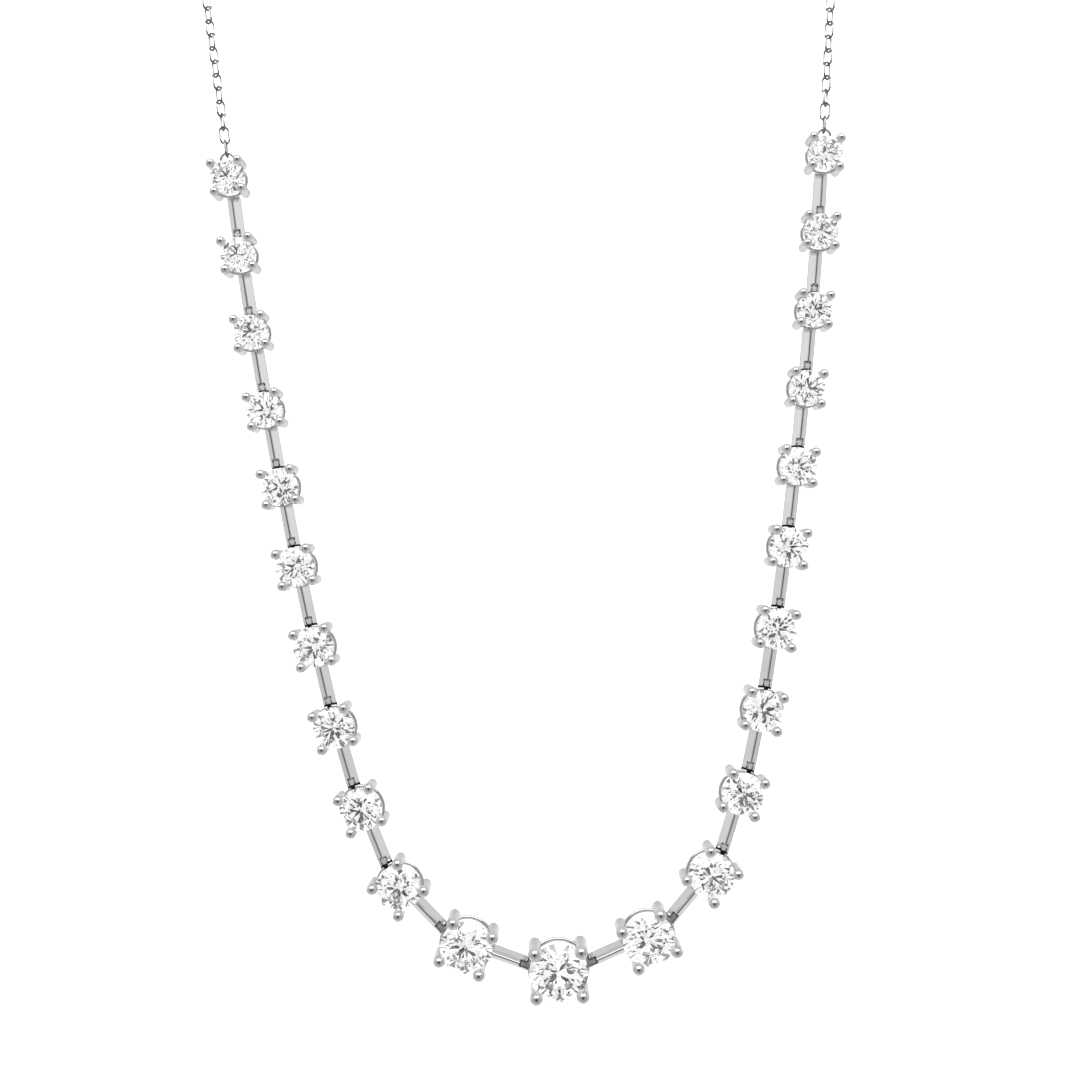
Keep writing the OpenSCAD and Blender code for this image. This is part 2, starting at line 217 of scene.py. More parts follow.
class StageLook(bpy.types.PropertyGroup):
    aim: FloatVectorProperty(name="Camera aim", description="Point in the middle of the picture",
                             default=(-0.12 * MM, -1.2 * MM, -132.4 * MM), unit="LENGTH", subtype="XYZ")
    distance: length("Camera distance", "Distance of the camera from the girdle plane", 106.96)
    roll: angle("Camera roll", "Lean of the camera against the hanging necklace", 2.3)
    field: angle("Field of view", "Width of the picture", 47.4)
    wall_distance: length("Wall distance", "Distance of the backdrop behind the necklace", 700)
    floor_drop: length("Floor drop", "Distance of the floor below the top of the necklace", 330)
    pale: grey("Backdrop", "Colour of floor and backdrop", 0.93)
    key: level("Key light", "Brightness of the soft light over the camera", 1.8)
    key_width: length("Key light width", "Width of the soft light over the camera", 800)
    key_depth: length("Key light depth", "Depth of the soft light over the camera", 320)
    backdrop: level("Backdrop light", "Brightness of the light on the backdrop", 9.0)
    tent_shown: level("Tent in the picture", "Brightness of the tent where the lens sees it", 1.1)
    tent_on_floor: level("Tent over the floor", "Brightness of the tent that lights floor and backdrop", 1.0)
    tent_back: level("Tent behind", "Brightness of the tent that metal mirrors from behind, upward", 0.62)
    tent_side: level("Tent beside", "Brightness of the tent that metal mirrors from beside, downward", 0.64)
    tent_high: level("Tent above", "Brightness of the tent that metal mirrors from beside, upward", 0.75)
    tent_band: level("Tent band", "Brightness of the band along the tent's sides that metal mirrors", 0.9)
    tent_low: level("Tent below", "Brightness of the tent that metal mirrors from below and behind", 0.82)
    tent_front: level("Tent in front", "Brightness of the tent that metal mirrors from in front", 0.42)
    hole_level: level("Camera hole", "Brightness of the hole that the camera looks through", 0.03)
    hole_inner: angle("Hole core", "Angle from the hole's middle to where it begins to brighten", 14)
    hole_outer: angle("Hole rim", "Angle from the hole's middle to where it ends", 28)
    gem_front: level("Stones' front", "Brightness of the tent in front that the stones gather", 1.2)
    gem_back: level("Stones' back", "Brightness of the tent behind that shines through the stones", 0.9)
    gem_hole: angle("Stones' hole", "Angle from the camera hole's middle to its rim, in the stones", 10)
    seam_scale: FloatProperty(name="Seam scale", description="Fineness of the tent's dark openings",
                              default=4.2, min=0)
    seam_shift: FloatVectorProperty(name="Seam shift", default=(3.3, 1.7, 0.4), subtype="XYZ",
                                    description="Place in the noise that lays out the openings")
    seam_share: share("Seam share", "Noise level above which the tent is open and dark", 0.6)
    seam_shade: share("Seam shade", "How much the tent darkens toward its openings, in the stones", 0.15)
    seam_level: level("Seam level", "Brightness of the openings and of the camera hole, in the stones", 0.09)


GROUPS = {
    "necklace_settings": SettingSizes,
    "necklace_cut": StoneCut,
    "necklace_bars": BarSizes,
    "necklace_chain": ChainSizes,
    "necklace_clasp": ClaspSizes,
    "necklace_finishes": Finishes,
    "necklace_stage": StageLook,
}


# Formulas in materials


class Signal:
    """A node's output that can stand in a formula: each operator adds its Math node."""

    def __init__(self, paint, socket):
        self.paint, self.socket = paint, socket

    def math(self, operation, *terms):
        return self.paint.node("ShaderNodeMath", {"operation": operation}, dict(enumerate(terms)))

    def __add__(self, other):
        return self.math("ADD", self, other)

    def __sub__(self, other):
        return self.math("SUBTRACT", self, other)

    def __rsub__(self, other):
        return self.math("SUBTRACT", other, self)

    def __mul__(self, other):
        return self.math("MULTIPLY", self, other)

    def __lt__(self, other):
        return self.math("LESS_THAN", self, other)

    def __or__(self, other):
        """Where either mask is."""
        return self.math("MAXIMUM", self, other)

    def __neg__(self):
        return self * -1

    def __abs__(self):
        return self.math("ABSOLUTE", self)

    __radd__ = __add__
    __rmul__ = __mul__


class Paint:
    """A node tree being painted."""

    def __init__(self, tree):
        self.tree = tree
        tree.nodes.clear()

    def node(self, kind, settings=None, inputs=None, output=0):
        """Adds a node of a type, with its settings, then the values or links of its sockets."""
        made = self.tree.nodes.new(kind)
        for key, value in (settings or {}).items():
            setattr(made, key, value)
        for key, value in (inputs or {}).items():
            if isinstance(value, Signal):
                self.tree.links.new(value.socket, made.inputs[key])
            else:
                made.inputs[key].default_value = value
        return Signal(self, made.outputs[output] if made.outputs else None)

    def between(self, mask, low, high):
        """A value that runs from low to high as the mask goes from 0 to 1."""
        return low + mask * (high - low)

    def spread(self, value, low, high):
        """0 below low, 1 above high, and smooth between them."""
        settings = {"interpolation_type": "SMOOTHSTEP", "clamp": True}
        return self.node("ShaderNodeMapRange", settings, {0: value, 1: low, 2: high, 3: 0.0, 4: 1.0})

    def mixed(self, mask, first, second):
        """A colour between two colours."""
        settings = {"data_type": "RGBA", "clamp_factor": True}
        return self.node("ShaderNodeMix", settings, {0: mask, 6: rgba(first), 7: rgba(second)}, output=2)

    def noise(self, place, scale, detail):
        return self.node("ShaderNodeTexNoise", inputs={"Vector": place, "Scale": scale, "Detail": detail})

    def bump(self, height, strength, millimetres):
        return self.node("ShaderNodeBump", inputs={
            "Strength": strength, "Distance": millimetres * MM, "Height": height})

    def surface(self, sockets):
        """Ends the tree with a Principled shader."""
        shader = self.node("ShaderNodeBsdfPrincipled", inputs=sockets)
        self.node("ShaderNodeOutputMaterial", inputs={"Surface": shader})


def rgba(colour):
    return (*colour, 1.0)


def started(name):
    """A new material, its paint, and the place on the object."""
    material = bpy.data.materials.new(name)
    material.use_nodes = True
    paint = Paint(material.node_tree)
    return material, paint, paint.node("ShaderNodeTexCoord", output="Object")


def polished_metal(name, bright, handled_colour, dullness):
    """White gold: bright polish with fine wheel lines, a cloudy rhodium skin and faint handling marks."""
    dimming, scuffing, line_scuffing, line_depth = 0.35, 0.05, 0.05, 0.35
    material, paint, place = started(name)
    handled = paint.spread(paint.noise(place, scale=420.0, detail=3.0), low=0.45, high=0.7)
    stretched = paint.node("ShaderNodeMapping", inputs={"Vector": place, "Scale": (1.0, 1.0, 0.18)})
    lines = paint.noise(stretched, scale=9000.0, detail=2.0)
    dents = paint.noise(place, scale=2600.0, detail=1.0)
    scuffed = paint.spread(lines, low=0.55, high=0.75)
    paint.surface({
        "Base Color": paint.mixed(handled * dimming, bright, handled_colour),
        "Metallic": 1.0,
        "Roughness": dullness + handled * scuffing + scuffed * line_scuffing,
        "Normal": paint.bump(lines * line_depth + dents, strength=0.5, millimetres=0.004)})
    return material


def dull_metal_and_shade(name, shade, dullness, stained):
    """White gold that no wheel reaches: dull, stained and granular from the casting. Its shade also carries
    painted light: a little darker than the polish as shade in the open hinges, near black as shadow in the
    narrow gaps, darker as shade on the links' bends, and brighter than the polish against the shade in the
    closed hinges.
    """
    roughening = 0.2
    material, paint, place = started(name)
    grain = paint.noise(place, scale=9000.0, detail=4.0)
    stain = paint.spread(paint.noise(place, scale=1800.0, detail=2.0), low=0.35, high=0.7)
    paint.surface({
        "Base Color": paint.mixed(stain, shade, [c * stained for c in shade]),
        "Metallic": 1.0,
        "Roughness": dullness + grain * roughening,
        "Normal": paint.bump(grain, strength=0.6, millimetres=0.01)})
    return material


def diamond(name, colours):
    """Diamond: clear, with flat polished facets and a finely ground girdle."""
    clouded, cloudiness = (0.965, 0.968, 0.97), 0.5
    level_within, ground, uneven = 0.05, 0.25, 0.2
    material, paint, place = started(name)
    facing = paint.node("ShaderNodeNewGeometry", output="Normal")
    girdle = abs(paint.node("ShaderNodeSeparateXYZ", inputs={0: facing}, output="Y")) < level_within
    grain = paint.noise(place, scale=30000.0, detail=2.0)
    cloud = paint.spread(paint.noise(place, scale=700.0, detail=2.0), low=0.4, high=0.8)
    paint.surface({
        "Base Color": paint.mixed(cloud * cloudiness, colours.gem, clouded),
        "Roughness": girdle * (ground + grain * uneven),
        "IOR": colours.gem_ior,
        "Transmission Weight": 1.0})
    return material


def pale_ground(name, colour):
    """Matt painted board, with the faintest mottle."""
    dimmed = 0.985
    material, paint, place = started(name)
    mottle = paint.noise(place, scale=6.0, detail=2.0)
    paint.surface({"Base Color": paint.mixed(mottle, colour, [c * dimmed for c in colour]), "Roughness": 0.9})
    return material


def material_named(name, maker, **options):
    return bpy.data.materials.get(name) or maker(name, **options)


def polished_white_gold(colours):
    return material_named("polished_white_gold", polished_metal, bright=colours.metal,
                          handled_colour=colours.metal_dull, dullness=colours.metal_rough)


def setting_metals(colours):
    """The polished metal of a setting, then the unpolished ones in the order of RECESS, GAP and SATIN, with
    painted shade in the first two and painted light in the last.
    """
    polished = polished_white_gold(colours)
    # Dull metal painted a little darker, as shade in the open hinges
    recess = material_named("recess_white_gold", dull_metal_and_shade, shade=colours.recess,
                            dullness=colours.recess_rough, stained=0.8)
    # Near-black painted shadow for the narrow gaps
    gap = material_named("tarnished_white_gold", dull_metal_and_shade, shade=colours.tarnish,
                         dullness=colours.satin_rough, stained=0.6)
    # Rough metal painted brighter than the polish, to lift the shade in the closed hinges
    satin = material_named("satin_white_gold", dull_metal_and_shade, shade=colours.satin,
                           dullness=colours.satin_rough, stained=0.95)
    return [polished, recess, gap, satin]


def chain_metals(colours):
    """The metals of a link: its straights, then its bends, painted darker as shade where the links cross."""
    bright = material_named("chain_white_gold", polished_metal, bright=colours.chain,
                            handled_colour=colours.metal, dullness=colours.chain_rough)
    # Painted shade on the bends, where the links cross
    rubbed = material_named("rubbed_white_gold", dull_metal_and_shade, shade=colours.rubbed,
                            dullness=colours.chain_rough, stained=0.6)
    return [bright, rubbed]


# Shapes, in millimetres


def tidy(bm):
    """Merges corners that meet, and turns the normals outwards."""
    bmesh.ops.remove_doubles(bm, verts=bm.verts, dist=MERGED_WITHIN)
    bmesh.ops.recalc_face_normals(bm, faces=bm.faces)
    return bm


def moved(bm, matrix):
    bmesh.ops.transform(bm, matrix=matrix, verts=bm.verts)
    return bm


def vertices(geometry):
    return [item for item in geometry if isinstance(item, bmesh.types.BMVert)]


def spun(bm, steps, centre=(0, 0, 0), turn=math.tau):
    """Turns an outline about an upright axis."""
    bmesh.ops.spin(bm, geom=bm.verts[:] + bm.edges[:], cent=centre, axis=(0, 0, 1), angle=turn, steps=steps,
                   use_merge=turn == math.tau)
    return bm


def turned(profile, steps):
    """A solid turned round Z from its half section, whose ends lie on the axis."""
    bm = bmesh.new()
    corners = [bm.verts.new((r, 0, z)) for r, z in profile]
    for pair in zip(corners, corners[1:]):
        bm.edges.new(pair)
    return tidy(spun(bm, steps))


def section(points):
    """A closed outline in the XZ plane."""
    bm = bmesh.new()
    corners = [bm.verts.new((x, 0, z)) for x, z in points]
    for pair in zip(corners, corners[1:] + corners[:1]):
        bm.edges.new(pair)
    return bm


def round_section(radius, sides):
    angles = [math.pi / sides + i * math.tau / sides for i in range(sides)]
    return [(radius * math.cos(a), radius * math.sin(a)) for a in angles]


def soft_section(width, height, edge):
    """A rectangle with round corners."""
    points = []
    for quarter, (x, z) in enumerate(((1, 1), (-1, 1), (-1, -1), (1, -1))):
        centre = (x * (width / 2 - edge), z * (height / 2 - edge))
        for i in range(CORNER_STEPS + 1):
            a = (quarter + i / CORNER_STEPS) * math.pi / 2
            points.append((centre[0] + edge * math.cos(a), centre[1] + edge * math.sin(a)))
    return points


def hoop(points, radius, steps):
    """A ring in the XY plane whose wire has the given section."""
    return tidy(spun(section([(radius + x, z) for x, z in points]), steps))


def oval(points, bend, straight, steps):
    """An oval ring in the XY plane, long along X: two half hoops joined by straight wires."""
    bm = section([(bend + x, z) for x, z in points])
    moved(bm, Matrix.Translation((straight / 2, 0, 0)) @ Matrix.Rotation(-math.pi / 2, 4, "Z"))
    spun(bm, steps, centre=(straight / 2, 0, 0), turn=math.pi)
    twin = bmesh.ops.duplicate(bm, geom=bm.verts[:] + bm.edges[:] + bm.faces[:])["geom"]
    bmesh.ops.rotate(bm, cent=(0, 0, 0), matrix=Matrix.Rotation(math.pi, 3, "Z"), verts=vertices(twin))
    rims = [e for e in bm.edges if e.is_boundary]
    for way in (1, -1):
        bmesh.ops.bridge_loops(bm, edges=[e for e in rims if e.verts[0].co.y * way > 0])
    return tidy(bm)


def prism(points, near, far):
    """A solid of a section in the YZ plane, drawn out along X."""
    bm = bmesh.new()
    face = bm.faces.new([bm.verts.new((near, y, z)) for y, z in points])
    drawn = bmesh.ops.extrude_face_region(bm, geom=[face])["geom"]
    bmesh.ops.translate(bm, vec=(far - near, 0, 0), verts=vertices(drawn))
    return tidy(bm)


def drum(radius, depth, flats):
    """A round bar along Z, centred."""
    bm = bmesh.new()
    bmesh.ops.create_cone(bm, cap_ends=True, segments=flats, radius1=radius, radius2=radius, depth=depth)
    return bm


def block(low, high):
    bm = bmesh.new()
    bmesh.ops.create_cube(bm, size=1)
    size = Vector(high) - Vector(low)
    return moved(bm, Matrix.Translation((Vector(low) + Vector(high)) / 2) @ Matrix.Diagonal((*size, 1)))


def softened(bm, edge, chosen):
    """Rounds the chosen sharp edges."""
    sharp = [e for e in bm.edges if e.calc_face_angle(0) > ROUNDED_FROM and chosen(e)]
    bmesh.ops.bevel(bm, geom=sharp, offset=edge, offset_type="OFFSET", segments=BEVEL_STEPS, profile=0.5,
                    affect="EDGES", material=-1, clamp_overlap=True)
    return bm


def marked(bm, place):
    """Gives every face another of its piece's materials."""
    for face in bm.faces:
        face.material_index = place
    return bm


def temporary(bm):
    """An object for a modifier, with a slot for each of a setting's materials."""
    mesh = bpy.data.meshes.new("work")
    bm.to_mesh(mesh)
    bm.free()
    for _ in range(SATIN + 1):
        mesh.materials.append(None)
    made = bpy.data.objects.new("work", mesh)
    bpy.context.scene.collection.objects.link(made)
    return made


def combined(operation, first, others):
    """The union of closed solids, or what is left of the first without the others."""
    body = temporary(first)
    tools = [temporary(other) for other in others]
    for tool in tools:
        step = body.modifiers.new("combine", "BOOLEAN")
        step.operation, step.object, step.solver = operation, tool, "MANIFOLD"
    graph = bpy.context.evaluated_depsgraph_get()
    result = bmesh.new()
    result.from_mesh(body.evaluated_get(graph).data)
    for work in [body, *tools]:
        mesh = work.data
        bpy.data.objects.remove(work)
        bpy.data.meshes.remove(mesh)
    if not result.faces:
        raise RuntimeError(f"{operation.lower()} left nothing")
    return result


def joined(first, *others):
    return combined("UNION", first, others)


def cut(first, *others):
    return combined("DIFFERENCE", first, others)


# Where things are


class Row:
    """The right half of the row of stones, read from the frame, in millimetres: u to the right, v up, and h
    toward the viewer from the plane of the pins."""

    def __init__(self):
        self.lift = mm(bpy.context.scene.necklace_settings.girdle_lift)
        self.places, self.radii = [], []
        for k in range(PAIRS + 1):
            stone = self.name("stone", 1, k)
            low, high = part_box(stone)
            middle = Vector((mm(low.x + high.x) / 2, mm(low.z + high.z) / 2, 0))
            points = [v.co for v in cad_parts[stone].data.vertices]
            self.places.append(middle)
            self.radii.append(max(math.hypot(mm(c.x) - middle.x, mm(c.z) - middle.y) for c in points))
        self.places[0].x = 0

    @staticmethod
    def name(kind, side, k):
        way = "left" if side < 0 else "right"
        return f"{kind}_centre" if k == 0 else f"{kind}_{way}_{k:02d}"

    def frame_of(self, k):
        """Setting k's own frame: X along its bar, which points at the stone below."""
        lean = math.pi if k == 0 else -math.pi / 2 - math.radians(BAR_LEANS[k - 1])
        return Matrix.Translation(self.places[k]) @ Matrix.Rotation(lean, 4, "Z")

    def below(self, k):
        """The centre of the next stone down, in setting k's own frame."""
        return self.frame_of(k).inverted() @ self.places[k - 1]

    def meet(self, k, outset):
        """Where bar k's axis meets a circle that lies outside the next stone's girdle."""
        centre = self.below(k)
        return centre.x - math.sqrt((self.radii[k - 1] + outset)**2 - centre.y**2)


class Arch:
    """The hidden run of the necklace: straight up from the end stones, then an arch. Its length fixes it."""

    def __init__(self, row):
        sizes = bpy.context.scene.necklace_chain
        self.lean = lean = sizes.lean
        self.start = row.places[-1]
        steps = [(b - a).length for a, b in zip(row.places, row.places[1:])]
        self.hidden = mm(sizes.total) - 2 * sum(steps)
        turn = math.pi + 2 * lean
        u = self.start.x
        rise = (self.hidden + 2 * u * math.sin(lean) - u * math.cos(lean) * turn) / (
            2 * math.cos(lean) + math.sin(lean) * turn)
        self.radius = u * math.cos(lean) + rise * math.sin(lean)
        self.middle = Vector((0, self.start.y + rise, 0))
        self.straight = rise * math.cos(lean) - u * math.sin(lean)

    def at(self, s):
        """The frame s along the right half, from the end stone's centre, with X along the chain."""
        if s < self.straight:
            lean = self.lean
            point = self.start + s * Vector((math.sin(lean), math.cos(lean), 0))
        else:
            turn = (s - self.straight) / self.radius
            lean = self.lean - turn
            point = self.middle + self.radius * Vector((math.cos(lean), -math.sin(lean), 0))
        return Matrix.Translation(point) @ Matrix.Rotation(math.pi / 2 - lean, 4, "Z")


def upright():
    """Turns what lies in the XY plane to stand on edge."""
    return Matrix.Rotation(math.pi / 2, 4, "X")


def hung():
    """From the plane of the necklace in millimetres to the frame in metres: u is X, v is Z, and h is -Y."""
    return Matrix.Diagonal((MM, MM, MM, 1)) @ upright()


def on_side(side):
    return Matrix.Diagonal((side, 1, 1, 1))


def finished(name, bm, replaced, materials, side=1):
    """Makes a piece of a shape drawn in the plane of the necklace, and hands it to the frame."""
    moved(bm, hung() @ on_side(side))
    bmesh.ops.recalc_face_normals(bm, faces=bm.faces)
    mesh = bpy.data.meshes.new(name)
    bm.to_mesh(mesh)
    bm.free()
    mesh.shade_smooth()
    mesh.set_sharp_from_angle(angle=SHARP_FROM)
    for material in materials:
        mesh.materials.append(material)
    piece = bpy.data.objects.new(name, mesh)
    bpy.context.scene.collection.objects.link(piece)
    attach(piece, "root")
    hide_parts(replaced)


# Settings


def claws(sizes, stone_cut, radius, lift):
    """Four round claws, notched for the stone's girdle."""
    edge_share, nearly = 0.3, 0.01
    r = (mm(sizes.claw_d_base) + sizes.claw_d_growth * 2 * radius) / 2
    foot = -sizes.foot_share * radius - mm(sizes.foot_extra)
    tip, swell = sizes.tip_share * radius, sizes.tip_swell * r
    chamfer = sizes.foot_round * r
    start = math.acos(1 / sizes.tip_swell)
    angles = [-start + i * (math.pi / 2 + start) / TIP_STEPS for i in range(TIP_STEPS)]
    arc = [(swell * math.cos(a), tip + swell * math.sin(a)) for a in angles]
    profile = [(0, foot), (r - chamfer, foot), (r, foot + chamfer), *arc, (0, tip + swell)]
    seat = stone_seat(sizes, stone_cut, radius)
    made = []
    for turn in (sizes.claw_angle, -sizes.claw_angle, math.pi + sizes.claw_angle, math.pi - sizes.claw_angle):
        claw = softened(turned(profile, CLAW_FLATS), chamfer * edge_share,
                        lambda e: max(v.co.z for v in e.verts) < foot + nearly)
        reach = Matrix.Translation((radius + mm(sizes.claw_outset), 0, 0))
        moved(claw, Matrix.Rotation(turn, 4, "Z") @ reach)
        made.append(moved(cut(claw, seat.copy()), Matrix.Translation((0, 0, lift))))
    seat.free()
    return made


def stone_seat(sizes, stone_cut, radius):
    """The space that a stone takes, with a little air."""
    air, half = mm(sizes.stone_air), stone_cut.girdle * radius
    inward = math.cos(math.pi / TABLE_CORNERS)
    star = (stone_cut.star + (1 - stone_cut.star) * stone_cut.table * inward) * radius
    top = half + (radius - star * inward) * math.tan(stone_cut.crown) + air
    low = -half - radius * math.tan(stone_cut.pavilion) - air
    return turned([(0, low), (radius + air, -half - air), (radius + air, half + air), (star + air, top),
                   (0, top)], SEAT_FLATS)


def rail_wire(sizes, radius):
    """Radius of the rail's wire."""
    return mm(sizes.rail_r_base) + sizes.rail_r_growth * radius


def rail_height(sizes, radius, lift):
    """Height of the rail over the pin plane."""
    return lift - (mm(sizes.rail_depth_base) + sizes.rail_depth_growth * radius)


def rail_edge(sizes, radius):
    """Where bars and lugs end inside the rail's wire, as an outset from the girdle, which is negative."""
    return -mm(sizes.rail_inset) - rail_wire(sizes, radius) / 2


def rail(sizes, radius, lift):
    """The gallery rail, a wire ring that ties the claws under the girdle."""
    wire = round_section(rail_wire(sizes, radius), WIRE_SIDES)
    ring = hoop(wire, radius - mm(sizes.rail_inset), RAIL_STEPS)
    return moved(ring, Matrix.Translation((0, 0, rail_height(sizes, radius, lift))))


def hinge_painted_metal(k):
    """The material of bar k's slot and pin, and of the eye in it: metal painted darker as shade in the open
    hinges, and rough metal painted brighter to lift the shade past them.
    """
    return RECESS if k <= OPEN_HINGES else SATIN


def gap_shade(k):
    """The material of what faces the narrow gap at the end of bar k: the open hinges' darker metal, and
    near-black painted shadow past them.
    """
    return RECESS if k <= OPEN_HINGES else GAP


def across(x):
    """Lays a drum across a bar, at x along it."""
    return Matrix.Translation((x, 0, 0)) @ upright()


def bar(row, k, sizes, bars):
    """A knife-edge bar toward the stone below, with a slotted end, a tongue under the rail and a pin."""
    long_edge, clear = 1, 1
    half, low = mm(bars.width) / 2, -mm(bars.back)
    shoulder, top, ridge = low + mm(bars.side), low + mm(bars.height), mm(bars.ridge) / 2
    slope = math.atan2(top - shoulder, half - ridge)
    bend = ridge / math.tan(slope / 2)
    crest = [(bend * math.sin(a), top - bend + bend * math.cos(a))
             for a in (slope * (1 - i / RIDGE_STEPS) for i in range(2 * RIDGE_STEPS + 1))]
    outline = [(-half, low), (half, low), (half, shoulder), *crest, (-half, shoulder)]
    centre, below = row.below(k), row.radii[k - 1]
    shaft = prism(outline, row.radii[k] + rail_edge(sizes, row.radii[k]), centre.x)
    shaft = softened(shaft, mm(bars.edge), lambda e: abs(e.verts[0].co.x - e.verts[1].co.x) > long_edge)
    pin_x = row.meet(k, mm(bars.pin_outset))
    floor, tall = low + mm(bars.slot_floor), 2 * mm(bars.height)
    # The hollow at the bar's end and the tongue take the open hinges' metal, and painted shadow past them
    end = marked(drum(below + mm(bars.end_gap), tall, END_FLATS), gap_shade(k))
    moved(end, Matrix.Translation(centre + Vector((0, 0, floor + tall / 2))))
    tip = marked(drum(below - mm(bars.tongue), 2 * tall, END_FLATS), gap_shade(k))
    moved(tip, Matrix.Translation(centre))
    slot_start = pin_x - mm(bars.eye_r) - mm(bars.slot_air)
    slot = block((slot_start, -mm(bars.slot) / 2, floor), (centre.x, mm(bars.slot) / 2, top + clear))
    pin = marked(drum(mm(bars.pin_d) / 2, mm(bars.pin_length), PIN_FLATS), hinge_painted_metal(k))
    return joined(cut(shaft, end, tip, marked(slot, hinge_painted_metal(k))), moved(pin, across(pin_x)))


def lug(row, k, sizes, bars):
    """The eye on the setting below bar k, in that bar's frame."""
    pin_x = row.meet(k, mm(bars.pin_outset))
    inner = row.meet(k, mm(bars.end_gap))
    end = row.meet(k, rail_edge(sizes, row.radii[k - 1]))
    half, thick, eye_r = mm(bars.eye_t) / 2, mm(bars.eye_t), mm(bars.eye_r)
    # The neck and root face the gap, and take its painted shadow past the open hinges
    near, far = hinge_painted_metal(k), gap_shade(k)
    eye = marked(moved(drum(eye_r, thick, EYE_FLATS), across(pin_x)), near)
    stem = marked(block((pin_x, -half, -eye_r), (inner, half, eye_r)), near)
    neck = marked(block((inner, -half, -eye_r), (end, half, eye_r)), far)
    root = marked(block((end - mm(bars.root), -half, -eye_r), (end, half, mm(bars.root_top))), far)
    hole = marked(moved(drum(mm(bars.eye_hole) / 2, 2 * thick, HOLE_FLATS), across(pin_x)), near)
    return cut(joined(eye, stem, neck, root), hole)


def hanging_loop(row, sizes, chain):
    """The loop on an end setting, with its solder to the rail."""
    radius, loop_r, wire = row.radii[-1], mm(chain.loop_r), mm(chain.loop_wire) / 2
    rise = radius + mm(chain.loop_outset)
    loop = moved(hoop(round_section(wire, WIRE_SIDES), loop_r, LOOP_STEPS), Matrix.Translation((-rise, 0, 0)))
    height = rail_height(sizes, radius, row.lift)
    solder_at = (rise - loop_r + radius - mm(sizes.rail_inset)) / 2
    solder = moved(drum(wire, height, PIN_FLATS), Matrix.Translation((-solder_at, 0, height / 2)))
    return [loop, solder]


class NECKLACE_OT_settings(bpy.types.Operator):
    """Makes the polished settings: claws, rail, bar, pin and lug, each soldered into one solid"""

    bl_idname = "necklace.settings"
    bl_label = "Settings"

    def execute(self, context):
        scene = context.scene
        sizes, bars, chain = scene.necklace_settings, scene.necklace_bars, scene.necklace_chain
        row = Row()
        metals = setting_metals(scene.necklace_finishes)
        for k in range(PAIRS + 1):
            own = row.frame_of(k)
            parts = [*claws(sizes, scene.necklace_cut, row.radii[k], row.lift),
                     rail(sizes, row.radii[k], row.lift)]
            if k:
                parts.append(bar(row, k, sizes, bars))
            if k == PAIRS:
                parts += hanging_loop(row, sizes, chain)
            for part in parts:
                moved(part, own)
            if k < PAIRS:
                parts.append(moved(lug(row, k + 1, sizes, bars), row.frame_of(k + 1)))
            if k == 0:
                twin = moved(parts[-1].copy(), on_side(-1))
                bmesh.ops.recalc_face_normals(twin, faces=twin.faces)
                parts.append(twin)
            shape = joined(*parts)
            for side in SIDES.values():
                if k or side > 0:
                    name = row.name("setting", side, k)
                    finished("polished_" + name, shape.copy(), name, metals, side)
            shape.free()
        return {"FINISHED"}


class NECKLACE_OT_stones(bpy.types.Operator):
    """Gives the cut stones their diamond"""

    bl_idname = "necklace.stones"
    bl_label = "Stones"

    def execute(self, context):
        gem = material_named("brilliant_diamond", diamond, colours=context.scene.necklace_finishes)
        for name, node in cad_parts.items():
            if name.startswith("stone_"):
                node.data.materials.clear()
                node.data.materials.append(gem)
        return {"FINISHED"}


# Chains and clasp


def clasp_eye_at(chain, clasp):
    """Distance of the clasp's eye from the top of the arch."""
    return mm(clasp.shift) + mm(clasp.length) / 2 + mm(chain.loop_r) - mm(clasp.eye_overlap)


def chain_span(side, arch, row, chain, clasp):
    """Where a chain's first and last links meet what holds them: distances from the end stone."""
    gap, loop_hole = mm(chain.gap), mm(chain.loop_r) - mm(chain.loop_wire) / 2
    start = row.radii[-1] + mm(chain.loop_outset) + loop_hole - gap
    if side < 0:
        reach = clasp_eye_at(chain, clasp) + loop_hole
    else:
        reach = mm(clasp.ring_at) + mm(clasp.ring_r) - mm(clasp.ring_wire) / 2
    return start, arch.hidden / 2 - reach + gap


class NECKLACE_OT_chains(bpy.types.Operator):
    """Makes the two cable chains, link by link"""

    bl_idname = "necklace.chains"
    bl_label = "Chains"

    def execute(self, context):
        sizes = context.scene.necklace_chain
        row = Row()
        arch = Arch(row)
        metals = chain_metals(context.scene.necklace_finishes)
        gap, wire = mm(sizes.gap), mm(sizes.wire)
        bend = (mm(sizes.width) - wire) / 2
        for way, side in SIDES.items():
            start, end = chain_span(side, arch, row, sizes, context.scene.necklace_clasp)
            count = 2 * int((end - start - gap) / mm(sizes.pitch) / 2) + (side < 0)
            pitch = (end - start - gap) / count
            straight = pitch + gap + wire - 2 * bend
            link = oval(round_section(wire / 2, LINK_SIDES), bend, straight, BEND_STEPS)
            # Bends beyond the bright share take painted shade, where the links cross
            for face in link.faces:
                face.material_index = abs(face.calc_center_median().x) > straight / 2 + sizes.rubbed * bend
            links = bmesh.new()
            for i in range(count):
                short = min(i, sizes.end_turns) + max(0, i - (count - 1 - sizes.end_turns))
                turn = (i + 1) * math.pi / 2 - sizes.short_turn * short
                place = arch.at(start + (pitch + gap) / 2 + i * pitch) @ Matrix.Rotation(turn, 4, "X")
                one = bpy.data.meshes.new("link")
                moved(link.copy(), place).to_mesh(one)
                links.from_mesh(one)
                bpy.data.meshes.remove(one)
            link.free()
            finished(f"linked_chain_{way}", links, f"chain_{way}", metals, side)
        return {"FINISHED"}


